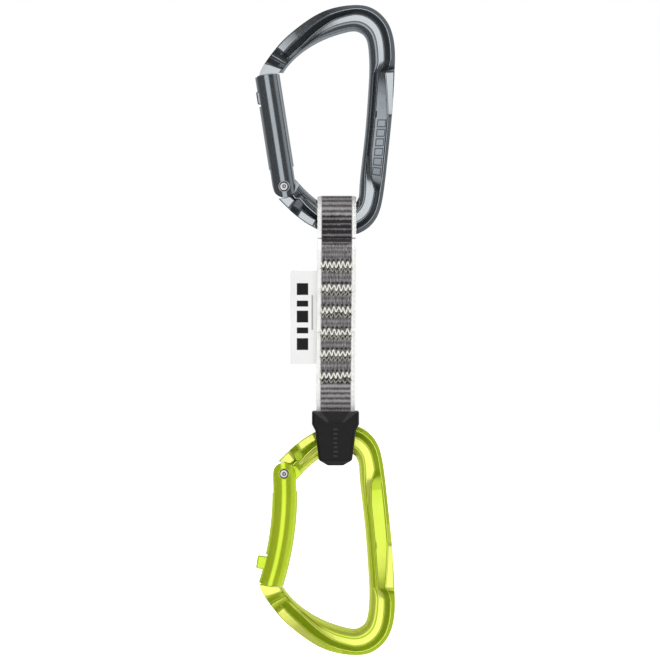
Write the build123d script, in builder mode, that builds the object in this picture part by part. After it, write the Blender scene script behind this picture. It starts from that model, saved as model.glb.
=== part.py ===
"""Climbing quickdraw: two forged keylock carabiners joined by a sewn webbing sling.

Frame: millimetres, +Z up, the front faces -Y. The origin is the point where the upper
carabiner hangs on a bolt hanger, so the whole quickdraw hangs below it.
"""

from build123d import *

import os
from math import cos, radians, sin

# ---------------------------------------------------------------- carabiner body
# Stations round the forged body, from the hinge to the nose: (inner edge, outer edge), as (x, z).
STATIONS = [
    ((-25.2, -65.0), (-32.6, -74.0)),
    ((-20.5, -70.0), (-27.2, -79.3)),
    ((-15.5, -74.2), (-20.7, -84.4)),
    ((-10.5, -77.2), (-13.3, -88.1)),
    ((-5.0, -78.3), (-4.8, -90.1)),
    ((-0.4, -77.0), (4.0, -88.2)),
    ((2.2, -73.2), (10.6, -81.6)),
    ((2.8, -66.5), (13.6, -70.0)),
    ((4.1, -54.1), (15.4, -54.3)),
    ((5.3, -43.0), (16.6, -43.0)),
    ((6.3, -30.0), (17.7, -30.0)),
    ((7.0, -18.0), (18.4, -16.5)),
    ((6.9, -10.5), (18.3, -6.5)),
    ((5.9, -4.0), (15.6, 3.2)),
    ((3.4, -0.9), (9.0, 9.8)),
    ((0.0, 0.0), (1.0, 11.5)),
    ((-5.7, -1.2), (-9.0, 10.1)),
    ((-13.3, -4.0), (-18.3, 5.9)),
    ((-21.0, -8.5), (-27.6, -1.1)),
    ((-27.0, -13.7), (-34.4, -8.1)),
    ((-31.0, -19.0), (-40.1, -16.6)),
    ((-33.6, -24.4), (-41.4, -22.4)),
]
BODY_THICK = 9.6  # across the flanges
INNER_EDGE_R = 4.2  # the rope and webbing run over this rounding
OUTER_EDGE_R = 1.7
POCKET_DEPTH = 2.6  # each side of the web
POCKET_DRAFT = 0.08  # how much narrower the pocket's floor is at each side, as a share of the width
# Each pocket's low and high edges, as shares of the body's width, and its first and last stations.
POCKETS = [(0.47, 0.8, 12, 18), (0.44, 0.8, 8, 11), (0.47, 0.8, 2, 7)]

# ---------------------------------------------------------------- gate and hinge
PIVOT = (-30.2, -68.3)  # the gate rivet, as (x, z)
GATE_LEAN = 8.85  # degrees from vertical, tip towards -X
GATE_R = 5.6
HEEL_R = 4.9  # rounded end of the gate, about the rivet
HEEL_RUN = 3.0  # the gate has its full width from here on
GATE_REACH = 49.5  # rivet to the gate's tip
GAP = 0.3  # between the gate and the body
GATE_OPEN = 35.0  # degrees
SLOT_FLOOR = 8.2  # end of the hinge slot, from the rivet
TANG_THICK = 4.4
SLOT_WIDE = 4.8
BORE_R = 2.0
BORE_END = 22.0
RIVET_R = 1.5
RIVET_FIT = 0.06  # the gate turns on the rivet with this clearance
RIVET_HEAD_R = 2.15
HEAD_SEAT = 4.85  # flat seat round each rivet head, from the middle plane
HEAD_UNDER, HEAD_OVER = 4.95, 5.85
SOCKET_R = 0.9
SOCKET_DEEP = 0.6
RIVET_CHAMFER = 0.35

# Keylock nose: a neck and a wider head that the gate's tip closes over, in gate coordinates.
KEY_OUT, KEY_IN = -5.9, 0.8
NECK_OUT = -2.6
KEY_LOW, KEY_TOP = 37.2, 43.0
KEY_SWING = 0.9  # room under the head, which dips as the gate swings off it
NECK_HALF, HEAD_HALF = 1.6, 2.8

# Hinge cam: its radius grows evenly with angle, so the pusher's travel is in step with the gate.
CAM_R = 4.0
CAM_PER_RAD = 1.6
CAM_START, CAM_END = -30.0, 55.0  # degrees clockwise from the closed straight gate
TANG_ROOT = [(5.6, 2.0), (9.0, -3.0), (9.5, -6.5), (3.6, -9.6), (-1.0, -6.1)]
TANG_HEEL_R = 4.9
PUSHER_CLEAR = 0.45
PUSHER_R = 1.85
STEM_R = 1.0
GUIDE_LONG = 4.6
WIRE_R = 0.25
COIL_R = 1.55
COIL_TURNS = 9
STEM_LONG = 5.0

# The bent gate follows an arc from the rivet through these points, in the closed gate's coordinates.
BENT_MIDDLE = (3.05, 25.0)
BENT_TIP = (1.5, 49.6)
BENT_TURN = 12.4  # degrees between the arc's start and the straight gate's line

# ---------------------------------------------------------------- the two ends
MIRROR_Z = -131.25  # the lower carabiner is the upper one turned over about this height
FLIP = Axis((0, 0, MIRROR_Z), (1, 0, 0))

# ---------------------------------------------------------------- webbing
SLING_X = -6.9
WEB_WIDE = 17.0
WEB_THICK = 1.5
NECK_HALF_THICK = 1.6
NECK_GAP = 0.3
SEWN_HALF_THICK = 2.3  # three layers
SEWN_TOP, SEWN_BOTTOM = -99.5, -155.5
TOP_NECK_Z = -97.0  # the webbing bends here, above the sewn part
LOW_NECK_Z = -160.0  # and here, above the keeper

# Each loop: the bend's centre, where its legs start to close, where they meet, and its width.
TOP_LOOP = dict(r=5.3, bend=-79.0, leg=-89.0, meet=-95.3, wide=15.0, wide_from=-86.0)
LOW_LOOP = dict(r=5.1, bend=-182.1, leg=-173.3, meet=-167.2, wide=12.0, wide_from=-173.0)
LOW_LOOP_THICK = 1.4

BARTACK_Z = [-102.5, -112.6, -122.3, -132.0, -141.4, -151.0]
BARTACK_WIDE = 14.0
BARTACK_TALL = 2.0
BARTACK_TEETH = 7
THREAD = 0.6
THREAD_PROUD = 0.35

LABEL_X = (-27.2, -15.9)
LABEL_Z = (-146.1, -105.2)
LABEL_THICK = 0.35
LABEL_GAP = 0.15  # space inside the fold

# ---------------------------------------------------------------- rubber keeper
# Levels from the top down: height, half width and half depth.
KEEPER_LEVELS = [
    (-166.9, 10.3, 8.6),
    (-172.6, 10.3, 9.0),
    (-175.4, 8.9, 9.0),
    (-188.0, 7.4, 8.6),
    (-190.5, 3.6, 6.0),
]
KEEPER_EDGE = 1.0
KEEPER_FIT = 0.1  # round the webbing
RIB_Z = (-187.0, -173.4)  # raised rib down the front and back
RIB_HALF, RIB_PROUD = 1.2, 0.35

# The carabiner's rod turns in the keeper about this centre, inside this ring.
TUNNEL_C = (SLING_X, 2 * MIRROR_Z + 66.0)
TUNNEL_R = (10.8, 25.3)
TUNNEL_HALF = 5.1


def rail(share, first=0, last=None):
    """Points of a line that runs round the body, share of the way from its inner to its outer edge."""
    chosen = STATIONS[first : last if last is None else last + 1]
    return [(i[0] + share * (o[0] - i[0]), i[1] + share * (o[1] - i[1])) for i, o in chosen]


def gate_plane(lean):
    """A plane on the rivet's axis whose local y runs along a gate that leans by that angle."""
    along = (sin(radians(-lean)), 0, cos(radians(-lean)))
    across = (along[2], 0, -along[0])
    return Plane(origin=(PIVOT[0], 0, PIVOT[1]), x_dir=across, z_dir=(0, -1, 0))


def bar_plane(lean, start):
    """A plane across a gate that leans by that angle, start mm from the rivet."""
    along = (sin(radians(-lean)), 0, cos(radians(-lean)))
    origin = (PIVOT[0] + start * along[0], 0, PIVOT[1] + start * along[2])
    return Plane(origin=origin, x_dir=(along[2], 0, -along[0]), z_dir=along)


CLOSED = gate_plane(GATE_LEAN)


def cam_point(angle):
    """A point of the hinge cam in CLOSED's coordinates, angle degrees clockwise from its y axis."""
    r = CAM_R + CAM_PER_RAD * radians(angle)
    return (r * sin(radians(angle)), r * cos(radians(angle)))


# ================================================================ forged body
def band(low, high, first, last):
    """Adds a face between two rails of the body, from one station to another."""
    with BuildLine() as edge:
        inner = Spline(*rail(low, first, last))
        outer = Spline(*rail(high, first, last))
        Line(inner @ 0, outer @ 0)
        Line(inner @ 1, outer @ 1)
    make_face(edge.edges())


def forge_bar():
    """The bar round the eye, with rounded edges and a pocket along each face."""
    last = len(STATIONS) - 1
    with BuildSketch(Plane.XZ) as shape:
        band(0, 1, 0, last)
    extrude(shape.sketch, amount=BODY_THICK / 2, both=True)
    rims = edges().filter_by(lambda edge: abs(edge.center().Y) > BODY_THICK / 4)
    rims = rims.filter_by(GeomType.BSPLINE).sort_by(SortBy.LENGTH)
    fillet(rims[:2], INNER_EDGE_R)
    fillet(rims[2:], OUTER_EDGE_R)
    for face in (1, -1):
        for low, high, start, end in POCKETS:
            with BuildSketch(Plane.XZ.offset(face * BODY_THICK / 2)) as mouth:
                band(low, high, start, end)
            with BuildSketch(Plane.XZ.offset(face * (BODY_THICK / 2 - POCKET_DEPTH))) as floor:
                band(low + POCKET_DRAFT, high - POCKET_DRAFT, start, end)
            loft([mouth.sketch, floor.sketch], mode=Mode.SUBTRACT)


def clear_gate():
    """Takes away what the gate's heel, its tip and the open gate need."""
    with BuildSketch(CLOSED) as shape:
        Circle(HEEL_R + GAP)
    extrude(shape.sketch, amount=BODY_THICK, both=True, mode=Mode.SUBTRACT)
    with BuildSketch(gate_plane(GATE_LEAN - GATE_OPEN)) as shape:
        with Locations((0, GATE_REACH / 2)):
            Rectangle(2 * (GATE_R + GAP), GATE_REACH)
    extrude(shape.sketch, amount=BODY_THICK, both=True, mode=Mode.SUBTRACT)
    with BuildSketch(CLOSED) as shape:
        with Locations((0, GATE_REACH - 8)):
            Rectangle(30, 20)
        Circle(GATE_REACH + GAP, mode=Mode.INTERSECT)
    extrude(shape.sketch, amount=BODY_THICK, both=True, mode=Mode.SUBTRACT)


def add_tang():
    """The hinge tang, with the rivet's hole and the cam that the pusher bears on."""
    step = (CAM_END - CAM_START) / 6
    with BuildSketch(CLOSED) as shape:
        with BuildLine():
            cam = Spline(*[cam_point(CAM_START + k * step) for k in range(7)])
            run = Polyline(cam @ 1, *TANG_ROOT)
            RadiusArc(run @ 1, cam @ 0, TANG_HEEL_R)
        make_face()
        Circle(RIVET_R, mode=Mode.SUBTRACT)
    extrude(shape.sketch, amount=TANG_THICK / 2, both=True)


def add_nose():
    """The keylock nose: a thin neck with a wider head."""
    with BuildSketch(CLOSED) as shape:
        with Locations(((NECK_OUT + KEY_IN) / 2, (KEY_LOW + GATE_REACH + 3) / 2)):
            Rectangle(KEY_IN - NECK_OUT, GATE_REACH + 3 - KEY_LOW)
    extrude(shape.sketch, amount=NECK_HALF, both=True)
    with BuildSketch(CLOSED) as shape:
        with Locations(((KEY_OUT + KEY_IN) / 2, (KEY_LOW + KEY_TOP) / 2)):
            RectangleRounded(KEY_IN - KEY_OUT, KEY_TOP - KEY_LOW, 0.7)
    extrude(shape.sketch, amount=HEAD_HALF, both=True)


os.makedirs("parts", exist_ok=True)


def save(piece, name):
    piece.label = name
    export_step(piece, f"parts/{name}.step")


def turned_over(piece):
    """The same piece on the lower carabiner."""
    return piece.rotate(FLIP, 180)


with BuildPart() as upper_body:
    forge_bar()
    clear_gate()
    add_tang()
    add_nose()

save(upper_body.part, "upper_body")
save(turned_over(upper_body.part), "lower_body")


# ================================================================ gates
def cut_hinge(lean):
    """The hinge slot, the rivet's hole and seats, and the spring's bore of a gate."""
    plane = gate_plane(lean)
    with BuildSketch(plane) as shape:
        with Locations((0, SLOT_FLOOR - 10)):
            Rectangle(4 * GATE_R, 20)
    extrude(shape.sketch, amount=SLOT_WIDE / 2, both=True, mode=Mode.SUBTRACT)
    with BuildSketch(plane) as shape:
        Circle(RIVET_R + RIVET_FIT)
    extrude(shape.sketch, amount=2 * GATE_R, both=True, mode=Mode.SUBTRACT)
    for face in (1, -1):
        with BuildSketch(plane.offset(face * HEAD_SEAT)) as shape:
            Circle(RIVET_HEAD_R + GAP)
        extrude(shape.sketch, amount=face * GATE_R, mode=Mode.SUBTRACT)
    with BuildSketch(bar_plane(lean, SLOT_FLOOR - 1)) as shape:
        Circle(BORE_R)
    extrude(shape.sketch, amount=BORE_END - SLOT_FLOOR + 1, mode=Mode.SUBTRACT)


def cut_keyway():
    """The T slot in the tip, open to the outside, that closes over the nose."""
    low = KEY_LOW - KEY_SWING
    with BuildSketch(CLOSED) as shape:
        with Locations((KEY_IN + GAP - 10, (low + KEY_TOP + GAP) / 2)):
            Rectangle(20, KEY_TOP + GAP - low)
    extrude(shape.sketch, amount=HEAD_HALF + GAP, both=True, mode=Mode.SUBTRACT)
    with BuildSketch(CLOSED) as shape:
        with Locations((KEY_IN + GAP - 10, (low + GATE_REACH + 5) / 2)):
            Rectangle(20, GATE_REACH + 5 - low)
    extrude(shape.sketch, amount=NECK_HALF + GAP, both=True, mode=Mode.SUBTRACT)


def trim_gate(lean):
    """Rounds the heel about the rivet and ends the tip on an arc about it."""
    with BuildSketch(gate_plane(lean)) as shape:
        with BuildLine():
            heel = CenterArc((0, 0), HEEL_R, 180, 180)
            Polyline(heel @ 1, (GATE_R, HEEL_RUN), (4 * GATE_R, 12), (4 * GATE_R, 60))
            Polyline(heel @ 0, (-GATE_R, HEEL_RUN), (-4 * GATE_R, 12), (-4 * GATE_R, 60))
            Line((4 * GATE_R, 60), (-4 * GATE_R, 60))
        make_face()
        Circle(GATE_REACH, mode=Mode.INTERSECT)
    extrude(shape.sketch, amount=2 * GATE_R, both=True, mode=Mode.INTERSECT)


with BuildPart() as upper_gate:
    with BuildSketch(bar_plane(GATE_LEAN, -HEEL_R)):
        Circle(GATE_R)
    extrude(amount=GATE_REACH + HEEL_R)
    trim_gate(GATE_LEAN)
    cut_hinge(GATE_LEAN)
    cut_keyway()

BENT_LEAN = GATE_LEAN - BENT_TURN

with BuildPart() as bent_gate:
    with BuildLine(CLOSED) as bow:
        arc = ThreePointArc((0, 0), BENT_MIDDLE, BENT_TIP)
        Line(arc @ 0 - (arc % 0) * 6, arc @ 0)
    with BuildSketch(Plane(origin=arc @ 0 - (arc % 0) * 6, x_dir=(0, 1, 0), z_dir=arc % 0)):
        Circle(GATE_R)
    sweep(path=bow.wire())
    trim_gate(BENT_LEAN)
    cut_hinge(BENT_LEAN)
    cut_keyway()

save(upper_gate.part, "upper_gate")
save(turned_over(bent_gate.part), "lower_gate")


def make_rivet():
    """A steel rivet across the hinge, with a domed head and a small socket at each end."""
    with BuildPart() as rivet:
        with BuildSketch(CLOSED):
            Circle(RIVET_R)
        extrude(amount=HEAD_UNDER, both=True)
        for face in (1, -1):
            with BuildSketch(CLOSED.offset(face * HEAD_UNDER)):
                Circle(RIVET_HEAD_R)
            extrude(amount=face * (HEAD_OVER - HEAD_UNDER))
        rims = edges().filter_by(GeomType.CIRCLE).group_by(Axis.Y)
        chamfer(rims[0] + rims[-1], RIVET_CHAMFER)
        for face in (1, -1):
            with BuildSketch(CLOSED.offset(face * HEAD_OVER)):
                RegularPolygon(SOCKET_R, 6)
            extrude(amount=-face * SOCKET_DEEP, mode=Mode.SUBTRACT)
    return rivet.part


def make_pusher(lean, foot):
    """The pin between the hinge cam and the spring: a guide with a thin stem."""
    with BuildPart() as pusher:
        with BuildSketch(bar_plane(lean, foot)):
            Circle(PUSHER_R)
        extrude(amount=GUIDE_LONG)
        chamfer(edges().filter_by(GeomType.CIRCLE), 0.3)
        with BuildSketch(bar_plane(lean, foot + GUIDE_LONG)):
            Circle(STEM_R)
        extrude(amount=STEM_LONG)
    return pusher.part


def make_spring(lean, foot):
    """The coil spring round the pusher's stem, from its guide to the end of the bore."""
    start = foot + GUIDE_LONG + WIRE_R + 0.05
    rise = BORE_END - WIRE_R - 0.05 - start
    base = bar_plane(lean, start)
    with BuildPart() as spring:
        with BuildLine():
            coil = Helix(rise / COIL_TURNS, rise, COIL_R, center=base.origin, direction=base.z_dir)
        with BuildSketch(Plane(origin=coil @ 0, z_dir=coil % 0)):
            Circle(WIRE_R)
        sweep(is_frenet=True)
    return spring.part


rivet = make_rivet()
save(rivet, "upper_gate_rivet")
save(turned_over(rivet), "lower_gate_rivet")

STRAIGHT_FOOT = CAM_R + PUSHER_CLEAR
BENT_FOOT = STRAIGHT_FOOT + CAM_PER_RAD * radians(BENT_TURN)
save(make_pusher(GATE_LEAN, STRAIGHT_FOOT), "upper_gate_pusher")
save(make_spring(GATE_LEAN, STRAIGHT_FOOT), "upper_gate_spring")
save(turned_over(make_pusher(BENT_LEAN, BENT_FOOT)), "lower_gate_pusher")
save(turned_over(make_spring(BENT_LEAN, BENT_FOOT)), "lower_gate_spring")


# ================================================================ webbing
def across(z=0.0):
    """A plane across the webbing's width, at the sling's middle: local x is Y and local y is Z."""
    return Plane(origin=(SLING_X, 0, z), x_dir=(0, 1, 0), z_dir=(1, 0, 0))


def loop_side(loop, neck, thick, grow):
    """The side view of a loop, filled: a round bend, two legs that close, and a neck."""
    away = 1 if loop["bend"] > neck else -1
    r = loop["r"] + thick + grow
    half = NECK_HALF_THICK + grow
    leg, meet, bend = loop["leg"], loop["meet"] - away * grow, loop["bend"]
    with BuildLine() as side:
        Polyline((-half, neck), (-half, meet), (-r, leg), (-r, bend))
        Polyline((half, neck), (half, meet), (r, leg), (r, bend))
        ThreePointArc((-r, bend), (0, bend + away * r), (r, bend))
        Line((-half, neck), (half, neck))
    make_face(side.edges())


def loop_front(loop, neck, grow):
    """The front view of a loop: full width at the neck, narrower round the bend."""
    away = 1 if loop["bend"] > neck else -1
    wide, narrow = WEB_WIDE / 2 + grow, loop["wide"] / 2 + grow
    end = loop["bend"] + away * 20
    with BuildLine() as front:
        for s in (1, -1):
            Polyline(
                (s * wide, neck - away * 10),
                (s * wide, loop["meet"]),
                (s * narrow, loop["wide_from"]),
                (s * narrow, end),
            )
        Line((-narrow, end), (narrow, end))
        Line((-wide, neck - away * 10), (wide, neck - away * 10))
    make_face(front.edges())


def loop_block(loop, neck, thick, grow=0.0):
    """The whole space of a loop, its inside included."""
    with BuildSketch(across()) as shape:
        loop_side(loop, neck, thick, grow)
    extrude(shape.sketch, amount=WEB_WIDE, both=True)
    with BuildSketch(Plane(origin=(SLING_X, 0, 0), x_dir=(1, 0, 0), z_dir=(0, -1, 0))) as shape:
        loop_front(loop, neck, grow)
    extrude(shape.sketch, amount=WEB_WIDE, both=True, mode=Mode.INTERSECT)


def loop_inside(loop):
    """Takes away the eye of a loop: straight sides, a round end, and a wedge to where the legs meet."""
    away = 1 if loop["bend"] > loop["meet"] else -1
    r, bend = loop["r"], loop["bend"]
    with BuildSketch(across()) as shape:
        with BuildLine():
            Polyline((-r, bend), (-r, loop["leg"]), (0, loop["meet"]), (r, loop["leg"]), (r, bend))
            ThreePointArc((-r, bend), (0, bend + away * r), (r, bend))
        make_face()
    extrude(shape.sketch, amount=WEB_WIDE, both=True, mode=Mode.SUBTRACT)


def knuckle(z, mode):
    """A round end about a bending line: the joint of two stretches of webbing."""
    gap = NECK_GAP if mode == Mode.SUBTRACT else 0
    with BuildSketch(across(z)) as shape:
        Circle(NECK_HALF_THICK + gap)
    extrude(shape.sketch, amount=WEB_WIDE / 2 + gap, both=True, mode=mode)


with BuildPart() as webbing_top_loop:
    loop_block(TOP_LOOP, TOP_NECK_Z, WEB_THICK)
    loop_inside(TOP_LOOP)
    knuckle(TOP_NECK_Z, Mode.SUBTRACT)

with BuildPart() as webbing_middle:
    with BuildSketch(across((TOP_NECK_Z + LOW_NECK_Z) / 2)):
        Rectangle(2 * NECK_HALF_THICK, TOP_NECK_Z - LOW_NECK_Z)
    extrude(amount=WEB_WIDE / 2, both=True)
    with BuildSketch(across((SEWN_TOP + SEWN_BOTTOM) / 2)):
        Rectangle(2 * SEWN_HALF_THICK, SEWN_TOP - SEWN_BOTTOM)
    extrude(amount=WEB_WIDE / 2, both=True)
    knuckle(TOP_NECK_Z, Mode.ADD)
    knuckle(LOW_NECK_Z, Mode.ADD)

with BuildPart() as webbing_bottom_loop:
    loop_block(LOW_LOOP, LOW_NECK_Z, LOW_LOOP_THICK)
    loop_inside(LOW_LOOP)
    knuckle(LOW_NECK_Z, Mode.SUBTRACT)

save(webbing_top_loop.part, "webbing_top_loop")
save(webbing_middle.part, "webbing_middle")
save(webbing_bottom_loop.part, "webbing_bottom_loop")

tooth = BARTACK_WIDE / BARTACK_TEETH
for number, height in enumerate(BARTACK_Z, start=1):
    with BuildPart() as bartack:
        for face in (1, -1):
            with BuildSketch(Plane.XZ.offset(face * SEWN_HALF_THICK)):
                with BuildLine() as stitch:
                    Polyline(
                        *[
                            (SLING_X - BARTACK_WIDE / 2 + k * tooth / 2, height + (-1) ** k * BARTACK_TALL / 2)
                            for k in range(2 * BARTACK_TEETH + 1)
                        ]
                    )
                trace(line_width=THREAD)
            extrude(amount=face * THREAD_PROUD)
    save(bartack.part, f"bartack_{number}")

with BuildPart() as label:
    wide, tall = LABEL_X[1] - LABEL_X[0], LABEL_Z[1] - LABEL_Z[0]
    middle = ((LABEL_X[0] + LABEL_X[1]) / 2, 0, (LABEL_Z[0] + LABEL_Z[1]) / 2)
    with Locations(middle):
        Box(wide, LABEL_GAP + 2 * LABEL_THICK, tall)
    with Locations((middle[0] + LABEL_THICK, 0, middle[2])):
        Box(wide, LABEL_GAP, tall, mode=Mode.SUBTRACT)

save(label.part, "label")


# ================================================================ keeper
with BuildPart() as keeper:
    for (z, half, deep), (low_z, low_half, low_deep) in zip(KEEPER_LEVELS, KEEPER_LEVELS[1:]):
        with BuildSketch(Plane((SLING_X, 0, z))):
            RectangleRounded(2 * half, 2 * deep, KEEPER_EDGE)
        with BuildSketch(Plane((SLING_X, 0, low_z))):
            RectangleRounded(2 * low_half, 2 * low_deep, KEEPER_EDGE)
        loft(ruled=True)
    with Locations((SLING_X, 0, (RIB_Z[0] + RIB_Z[1]) / 2)):
        Box(2 * RIB_HALF, 2 * (KEEPER_LEVELS[2][2] + RIB_PROUD), RIB_Z[1] - RIB_Z[0])
    with BuildSketch(Plane.XZ):
        with Locations(TUNNEL_C):
            Circle(TUNNEL_R[1])
            Circle(TUNNEL_R[0], mode=Mode.SUBTRACT)
            with Locations((0, -30)):
                Rectangle(80, 60, mode=Mode.SUBTRACT)
    extrude(amount=TUNNEL_HALF, both=True, mode=Mode.SUBTRACT)

with BuildPart() as keeper_core:
    loop_block(LOW_LOOP, LOW_NECK_Z, LOW_LOOP_THICK, KEEPER_FIT)

save(keeper.part - keeper_core.part, "keeper")
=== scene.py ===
"""The looks of a climbing quickdraw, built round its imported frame.

Lengths below are in millimetres until a mesh is written, which is in metres.
"""

from math import cos, pi, radians, sin

import bmesh
import bpy
import numpy as np
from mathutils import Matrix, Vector

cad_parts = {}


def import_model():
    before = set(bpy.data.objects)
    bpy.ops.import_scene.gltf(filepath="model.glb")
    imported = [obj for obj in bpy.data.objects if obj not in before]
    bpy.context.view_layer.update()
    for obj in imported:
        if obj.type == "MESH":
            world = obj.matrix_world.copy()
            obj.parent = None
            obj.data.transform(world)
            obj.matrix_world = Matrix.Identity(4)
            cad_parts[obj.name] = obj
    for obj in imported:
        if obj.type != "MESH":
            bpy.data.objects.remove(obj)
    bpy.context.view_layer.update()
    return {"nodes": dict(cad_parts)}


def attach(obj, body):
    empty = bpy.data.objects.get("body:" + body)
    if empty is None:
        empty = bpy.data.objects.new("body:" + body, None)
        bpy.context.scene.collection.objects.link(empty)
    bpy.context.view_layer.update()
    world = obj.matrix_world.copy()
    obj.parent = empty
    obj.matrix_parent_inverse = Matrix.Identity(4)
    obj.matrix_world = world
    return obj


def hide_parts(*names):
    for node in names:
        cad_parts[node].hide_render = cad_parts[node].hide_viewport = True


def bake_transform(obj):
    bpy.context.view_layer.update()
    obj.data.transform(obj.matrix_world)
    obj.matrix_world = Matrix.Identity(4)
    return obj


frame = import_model()
MM = 0.001


# ================================================================ shader expressions
class Sock:
    """A shader value that can be added, multiplied and so on: each operator adds a Math node."""

    def __init__(self, tree, socket):
        self.tree, self.socket = tree, socket

    def math(self, operation, other=0.0, swap=False):
        node = self.tree.nodes.new("ShaderNodeMath")
        node.operation = operation
        first, second = (other, self) if swap else (self, other)
        for place, value in enumerate((first, second)):
            link(self.tree, value, node.inputs[place])
        return Sock(self.tree, node.outputs[0])

    def __add__(self, other):
        return self.math("ADD", other)

    def __mul__(self, other):
        return self.math("MULTIPLY", other)

    def __sub__(self, other):
        return self.math("SUBTRACT", other)

    def __rsub__(self, other):
        return self.math("SUBTRACT", other, swap=True)

    __radd__ = __add__
    __rmul__ = __mul__

    def above(self, edge):
        return self.math("GREATER_THAN", edge)

    def clamp(self):
        return self.math("MINIMUM", 1.0).math("MAXIMUM", 0.0)

    def sine(self):
        return self.math("SINE")

    def size(self):
        return self.math("ABSOLUTE")


def link(tree, value, socket):
    """Sets a socket to a number or colour, or links it to another node's output."""
    if isinstance(value, Sock):
        tree.links.new(value.socket, socket)
    else:
        socket.default_value = value


class Shader:
    """One material: a Principled surface and the nodes that feed it."""

    def __init__(self, name, **fixed):
        self.material = bpy.data.materials.new(name)
        self.material.use_nodes = True
        self.tree = self.material.node_tree
        self.surface = next(n for n in self.tree.nodes if n.type == "BSDF_PRINCIPLED")
        for key, value in fixed.items():
            self.feed(key.replace("_", " ").title().replace("Ior", "IOR"), value)

    def feed(self, socket, value):
        link(self.tree, value, self.surface.inputs[socket])

    def node(self, kind, settings=None, output=0, **inputs):
        """Any other node: its settings are set first, then its sockets' values or links."""
        made = self.tree.nodes.new("ShaderNode" + kind)
        for key, value in (settings or {}).items():
            setattr(made, key, value)
        for key, value in inputs.items():
            link(self.tree, value, made.inputs[key])
        return Sock(self.tree, made.outputs[output])

    def uv_vector(self):
        """The piece's own UV map as one vector."""
        coords = self.tree.nodes.new("ShaderNodeUVMap")
        return Sock(self.tree, coords.outputs[0])

    def uv(self):
        """The two coordinates of the piece's own UV map."""
        split = self.tree.nodes.new("ShaderNodeSeparateXYZ")
        link(self.tree, self.uv_vector(), split.inputs[0])
        return Sock(self.tree, split.outputs[0]), Sock(self.tree, split.outputs[1])

    def noise(self, size, detail=3.0, stretch=(1, 1, 1)):
        """Noise from 0 to 1 with blobs about size mm across, divided by stretch along X, Y and Z."""
        coords = self.tree.nodes.new("ShaderNodeTexCoord")
        scale = tuple(share / (size * MM) for share in stretch)
        where = self.node("Mapping", Vector=Sock(self.tree, coords.outputs["Object"]), Scale=scale)
        return self.node("TexNoise", Vector=where, Scale=1.0, Detail=detail)

    def mask(self, name):
        """A vertex attribute of the mesh."""
        return self.node("Attribute", {"attribute_name": name}, output=2)

    def mix(self, amount, low, high):
        """Blends two colours."""
        made = self.tree.nodes.new("ShaderNodeMix")
        made.data_type = "RGBA"
        link(self.tree, amount, made.inputs[0])
        for place, value in ((6, low), (7, high)):
            if isinstance(value, tuple) and len(value) == 3:
                value = (*value, 1.0)
            link(self.tree, value, made.inputs[place])
        return Sock(self.tree, made.outputs[2])

    def bump(self, height, depth, strength):
        """Raises the surface by height, which runs from 0 to 1, times depth in mm."""
        made = self.node("Bump", Height=height, Distance=depth * MM, Strength=strength)
        self.feed("Normal", made)


def spread(value, low, high):
    """Stretches a shader value so that low becomes 0 and high becomes 1, and clamps it."""
    return ((value - low) * (1.0 / (high - low))).clamp()


# ================================================================ meshes
def to_object(name, points, faces, finish, uv=None, masks=None, crease=35, smooth=True):
    """A mesh object from points in mm and faces; normals are turned outwards.

    Each mask is a number at every point, which a material reads by its name.
    """
    mesh = bpy.data.meshes.new(name)
    mesh.from_pydata((np.asarray(points, float) * MM).tolist(), [], [list(map(int, f)) for f in faces])
    if uv is not None:
        layer = mesh.uv_layers.new(name="UVMap")
        corner = np.empty(len(mesh.loops), np.int32)
        mesh.loops.foreach_get("vertex_index", corner)
        layer.data.foreach_set("uv", np.asarray(uv, np.float32)[corner].ravel())
    for key, value in (masks or {}).items():
        attribute = mesh.attributes.new(key, "FLOAT", "POINT")
        attribute.data.foreach_set("value", np.asarray(value, np.float32).ravel())
    made = bmesh.new()
    made.from_mesh(mesh)
    bmesh.ops.recalc_face_normals(made, faces=made.faces)
    made.to_mesh(mesh)
    made.free()
    if smooth:
        mesh.shade_smooth()
        mesh.set_sharp_from_angle(angle=radians(crease))
    mesh.materials.append(finish.material)
    shown = bpy.data.objects.new(name, mesh)
    bpy.context.scene.collection.objects.link(shown)
    return shown


def ring_faces(rows, columns, first=0):
    """Quads between rows of closed rings, with an end face on the first and last ring."""
    i, j = np.meshgrid(np.arange(rows - 1), np.arange(columns), indexing="ij")
    a = first + i * columns + j
    b = first + i * columns + (j + 1) % columns
    faces = np.stack([a, b, b + columns, a + columns], -1).reshape(-1, 4).tolist()
    last = first + (rows - 1) * columns
    faces.append(list(range(first, first + columns))[::-1])
    faces.append(list(range(last, last + columns)))
    return faces


def rings(name, grid, finish, **more):
    """A closed surface from a grid of rings: grid[row, column] is a point."""
    rows, columns = grid.shape[:2]
    return to_object(name, grid.reshape(-1, 3), ring_faces(rows, columns), finish, **more)


def spline(points, at):
    """A smooth curve through points, one unit of at between neighbours: cubic, with free ends."""
    points, at = np.asarray(points, float), np.asarray(at, float)
    n = len(points)
    matrix = np.diag(np.full(n, 4.0)) + np.diag(np.ones(n - 1), 1) + np.diag(np.ones(n - 1), -1)
    matrix[0, :2], matrix[-1, -2:] = (1, 0), (0, 1)
    right = np.zeros_like(points)
    right[1:-1] = 6 * (points[2:] - 2 * points[1:-1] + points[:-2])
    bend = np.linalg.solve(matrix, right)
    k = np.clip(at.astype(int), 0, n - 2)
    t = (at - k)[:, None]
    s = 1 - t
    return (
        s * points[k] + t * points[k + 1] + ((s**3 - s) * bend[k] + (t**3 - t) * bend[k + 1]) / 6
    )


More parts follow.
